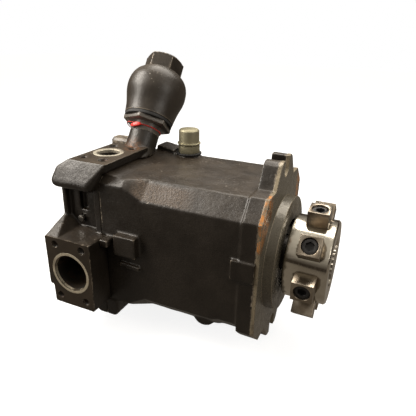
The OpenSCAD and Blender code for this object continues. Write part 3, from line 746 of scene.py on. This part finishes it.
def seal():
    """Two thin wires twisted round the neck, and a lead seal pressed on them."""
    for k in range(2):
        points = []
        for i in range(900):
            a = 2 * math.pi * i / 900
            twist = 2 * math.pi * 26 * i / 900 + k * math.pi
            loose = max(0.0, math.cos(a - math.radians(215)))
            r = 22.9 + 6.0 * loose ** 5 + 0.45 * math.cos(twist)
            h = 32.2 + 2.6 * loose ** 3 + 0.45 * math.sin(twist)
            points.append(ON_DAMPER @ (Vector((r * math.cos(a), r * math.sin(a), h)) * MM))
        wire = tube("seal_wire_%d" % k, points, 0.00042, SLOTS["seal_red"])
        shown_as(wire, "seal_wire")
    bm = bmesh.new()
    bmesh.ops.create_icosphere(bm, subdivisions=4, radius=1.0)
    for v in bm.verts:
        d = v.co.normalized()
        flat = math.copysign(abs(d.x) ** 0.6, d.x) * 1.7
        bend = 1.6 * d.y * d.y
        v.co = Vector((flat - bend, d.y * 9.6, d.z * 3.4 + 1.2 * d.y)) * (1 + 0.08 * noise.noise(d * 2.5))
    bm.transform(Matrix.Scale(MM, 4))
    turn = Matrix.Rotation(math.radians(-97), 4, "Z") @ Matrix.Translation(Vector((25.6, 0, 30.2)) * MM)
    bm.transform(ON_DAMPER @ turn)
    shown_as(new_piece("lead_seal_blob", bm, SLOTS["seal_red"]), "lead_seal")


seal()


# ---- regulator spring -------------------------------------------------------

def regulator_spring():
    """A coil along Y in the box of the CAD spring. The spool presses the real spring together as it slides;
    this coil keeps one length.
    """
    low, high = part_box("regulator_spring")
    middle = 0.5 * (Vector(low) + Vector(high))
    wire, turns, steps, sides = 0.00042, 5, 40, 10
    coil_r = 0.5 * (high[0] - low[0]) - wire - 0.0001
    start, length = low[1] + wire, high[1] - low[1] - 2 * wire
    bm = bmesh.new()
    rings = []
    for i in range(turns * steps + 1):
        a = 2 * math.pi * i / steps
        out = Vector((math.cos(a), 0, math.sin(a)))
        place = Vector((middle.x, start + length * i / (turns * steps), middle.z)) + coil_r * out
        rings.append([bm.verts.new(place + wire * (math.cos(b) * out + math.sin(b) * Vector((0, 1, 0))))
                      for b in (2 * math.pi * k / sides for k in range(sides))])
    for one, two in zip(rings, rings[1:]):
        for k in range(sides):
            m = (k + 1) % sides
            bm.faces.new((one[k], one[m], two[m], two[k]))
    bm.faces.new(rings[0])
    bm.faces.new(rings[-1])
    bmesh.ops.recalc_face_normals(bm, faces=bm.faces)
    spring = new_piece("regulator_coil", bm, SLOTS["black_steel"], smooth=40)
    shown_as(spring, "regulator_spring")
    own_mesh(spring)


regulator_spring()


# ---- small finish on CAD nodes ----------------------------------------------

for name, width, mat in (
        ("damper_adapter", 0.6, EDGE_WEAR_AND_HIGHLIGHT), ("damper_ring", 0.6, None), ("drive_shaft", 0.2, None),
        ("drain_fitting", 0.5, None), ("drain_cap", 0.5, None), ("drain_seal_ring", 0.5, None),
        ("cover_bolts", 0.5, None), ("cover_plug", 0.5, None), ("regulator_housing", 1.6, None),
        ("regulator_bonnet", 0.5, None), ("lock_nut", 0.4, None), ("bleed_screw", 0.3, None)):
    soften(name, width, mat)
for name, width in (("coupling_hub", 0.3), ("hub_blocks", 0.3), ("hub_block_screws", 0.25)):
    soften(name, width, crisp=True)
NODES["coupling_hub"].data.materials[0] = HUB
NODES["hub_blocks"].data.materials[0] = BLOCK
NODES["damper_adapter"].data.materials[0] = NECK_PAINT_HIGHLIT
# the seal retainer, deep in the pilot bore, is black as painted shade
NODES["seal_retainer"].data.materials[0] = SLOTS["black_steel"]


def paint_shade(node, inside):
    """Painted shade: dark faces where inside(place) holds, as a second material."""
    me = NODES[node].data
    to_row = NODES[node].matrix_world
    me.materials.append(SHADE_STEEL)
    for face in me.polygons:
        if inside(to_row @ face.center):
            face.material_index = len(me.materials) - 1


# painted shade on the shaft inside the pilot and on the hub's bore
paint_shade("drive_shaft", lambda place: place.x < 0.0205)
paint_shade("coupling_hub", lambda place: math.hypot(place.y, place.z) < 0.0240)


make_camera()

floor_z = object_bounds()[0].z
me = bpy.data.meshes.new("floor")
bm = bmesh.new()
bmesh.ops.create_grid(bm, x_segments=1, y_segments=1, size=6)
bm.to_mesh(me)
floor = bpy.data.objects.new("floor", me)
floor.location.z = floor_z
bpy.context.collection.objects.link(floor)
pale = Mat("pale_floor")
pale.finish(pale.mix(pale.noise(3, 2), (0.26, 0.26, 0.26), (0.28, 0.28, 0.28)), 0.8)
pale.bsdf.inputs["Emission Color"].default_value = (1, 1, 1, 1)
pale.bsdf.inputs["Emission Strength"].default_value = 0.86
dim = pale.node("ShaderNodeBsdfDiffuse")
pale.put(dim.inputs["Color"], (0.055, 0.042, 0.031))
mirrored = pale.node("ShaderNodeEmission")
pale.put(mirrored.inputs["Color"], (0.22, 0.19, 0.155))
path = pale.node("ShaderNodeLightPath")
low = pale.node("ShaderNodeMixShader")
pale.link(path.outputs["Is Glossy Ray"], low.inputs[0])
pale.link(dim.outputs[0], low.inputs[1])
pale.link(mirrored.outputs[0], low.inputs[2])
seen = pale.node("ShaderNodeMixShader")
pale.link(path.outputs["Is Camera Ray"], seen.inputs[0])
pale.link(low.outputs[0], seen.inputs[1])
pale.link(pale.bsdf.outputs[0], seen.inputs[2])
pale.link(seen.outputs[0], pale.out.inputs[0])
me.materials.append(pale.mat)


def studio_world():
    """White behind the object, brighter overhead than at the sides."""
    world = bpy.data.worlds.new("studio")
    world.use_nodes = True
    tree = world.node_tree
    back = tree.nodes["Background"]
    back.inputs[1].default_value = 1.0
    where = tree.nodes.new("ShaderNodeTexCoord")
    part = tree.nodes.new("ShaderNodeSeparateXYZ")
    ramp = tree.nodes.new("ShaderNodeValToRGB")
    path = tree.nodes.new("ShaderNodeLightPath")
    pick = tree.nodes.new("ShaderNodeMix")
    pick.data_type = "RGBA"
    ramp.color_ramp.elements[0].position = 0.0
    ramp.color_ramp.elements[0].color = (0.030, 0.022, 0.016, 1)
    ramp.color_ramp.elements[1].position = 0.95
    ramp.color_ramp.elements[1].color = (0.72, 0.68, 0.61, 1)
    for at, tone in ((0.16, (0.045, 0.034, 0.025, 1)), (0.45, (0.36, 0.33, 0.29, 1))):
        ramp.color_ramp.elements.new(at).color = tone
    tree.links.new(where.outputs["Generated"], part.inputs[0])
    tree.links.new(part.outputs[2], ramp.inputs[0])
    tree.links.new(path.outputs["Is Camera Ray"], pick.inputs["Factor"])
    tree.links.new(ramp.outputs[0], pick.inputs[6])
    pick.inputs[7].default_value = (1, 1, 1, 1)
    tree.links.new(pick.outputs[2], back.inputs[0])
    bpy.context.scene.world = world


studio_world()
bpy.context.scene.view_settings.view_transform = "Standard"

WARM = (1.0, 0.94, 0.86)
area_light("key", (-1.15, -0.35, 1.05), (-0.15, 0, 0.05), (0.7, 0.7), 34, WARM)
area_light("top", (-0.1, 0.55, 1.25), (-0.12, 0, 0.1), (1.3, 0.9), 24, WARM)
area_light("strip", (-1.0, -0.75, 0.45), (-0.2, 0, 0.1), (0.35, 1.0), 7, WARM)
area_light("side", (1.1, -0.35, 0.75), (-0.05, 0, 0), (0.5, 0.9), 7, WARM)
